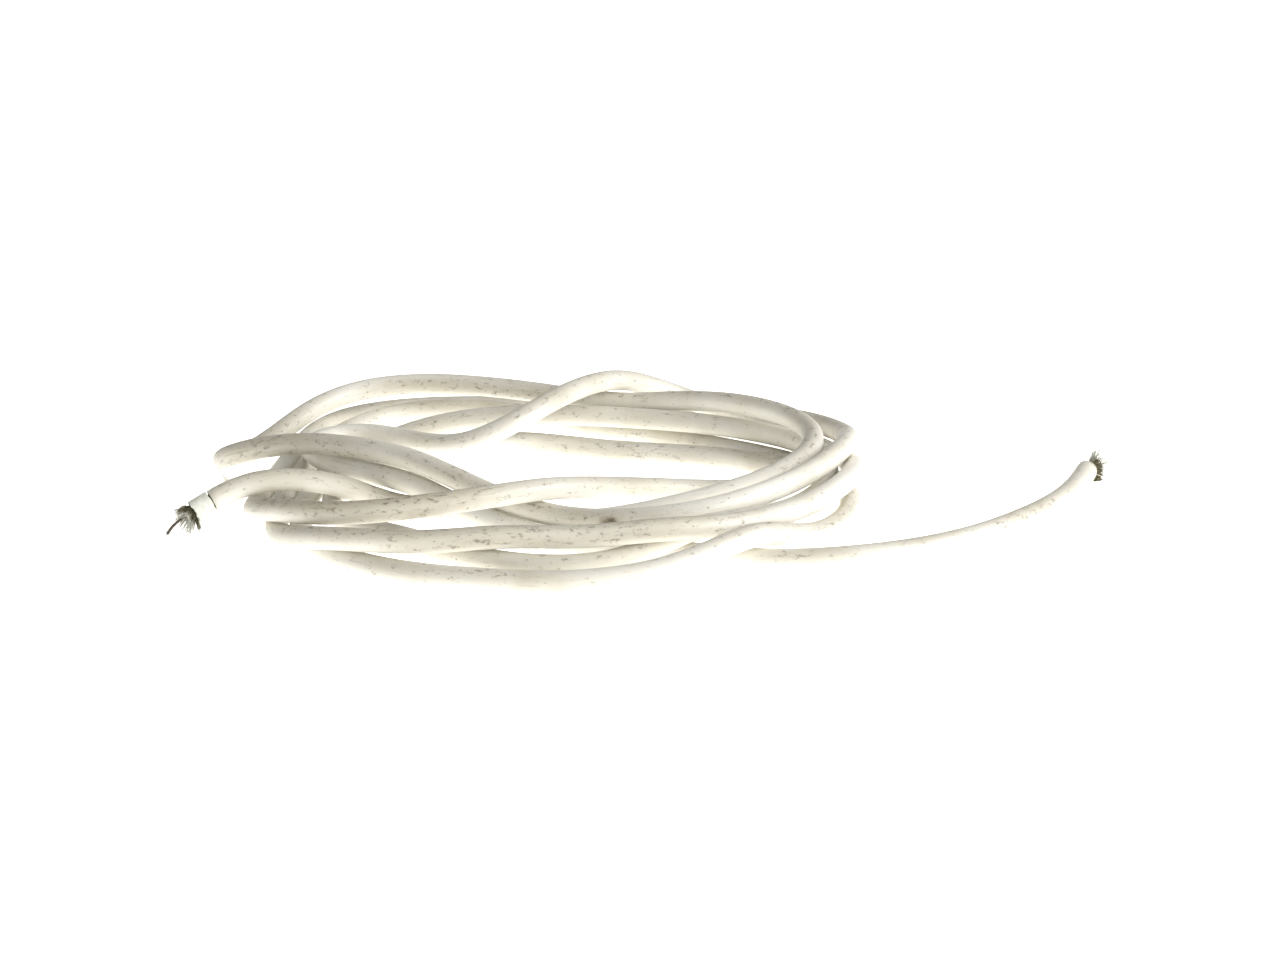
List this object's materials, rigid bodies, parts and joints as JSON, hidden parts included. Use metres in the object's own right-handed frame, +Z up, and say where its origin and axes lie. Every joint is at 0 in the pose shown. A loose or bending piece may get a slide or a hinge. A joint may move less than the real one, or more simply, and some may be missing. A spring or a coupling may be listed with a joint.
{
  "type": "coiled charging cable",
  "caption": "Loose oval coil of thin white screened cable with one tail lying out to the right; both ends are cut square and frayed, with no plugs.",
  "frame": {"origin": "centre of the underside of the whole part's box, on the surface it lies on", "axes": "+X along the longest side towards the free right tail, +Y towards the back of the coil, +Z up from the surface"},
  "size_m": [0.168, 0.1184, 0.0153],
  "materials": {
    "jacket": "aged white soft plastic, satin, slightly soiled",
    "collar": "the same plastic, scored and strained until it turned translucent",
    "screen": "fine tarnished wires",
    "insulation": "pale natural plastic",
    "conductor": "tarnished copper strands",
    "filler": "pale fuzzy fibres"
  },
  "bodies": {
    "root": {"outer_jacket": "jacket", "jacket_collar_left": "collar", "screen_braid": "screen", "core_insulation": "insulation", "core_conductor": "conductor", "screen_lock_left_01": "screen", "screen_lock_left_02": "screen", "screen_lock_left_03": "screen", "screen_lock_left_04": "screen", "screen_lock_left_05": "screen", "screen_lock_left_06": "screen", "screen_lock_left_07": "screen", "screen_lock_left_08": "screen", "screen_lock_left_09": "screen", "screen_lock_left_10": "screen", "screen_lock_left_11": "screen", "screen_lock_left_12": "screen", "screen_lock_right_01": "screen", "screen_lock_right_02": "screen", "screen_lock_right_03": "screen", "screen_lock_right_04": "screen", "screen_lock_right_05": "screen", "screen_lock_right_06": "screen", "screen_lock_right_07": "screen", "screen_lock_right_08": "screen", "screen_lock_right_09": "screen", "screen_lock_right_10": "screen", "filler_tip_left_1": "filler", "filler_tip_left_2": "filler", "filler_tip_right_1": "filler", "filler_tip_right_2": "filler", "filler_tip_right_3": "filler"}
  },
  "joints": []
}
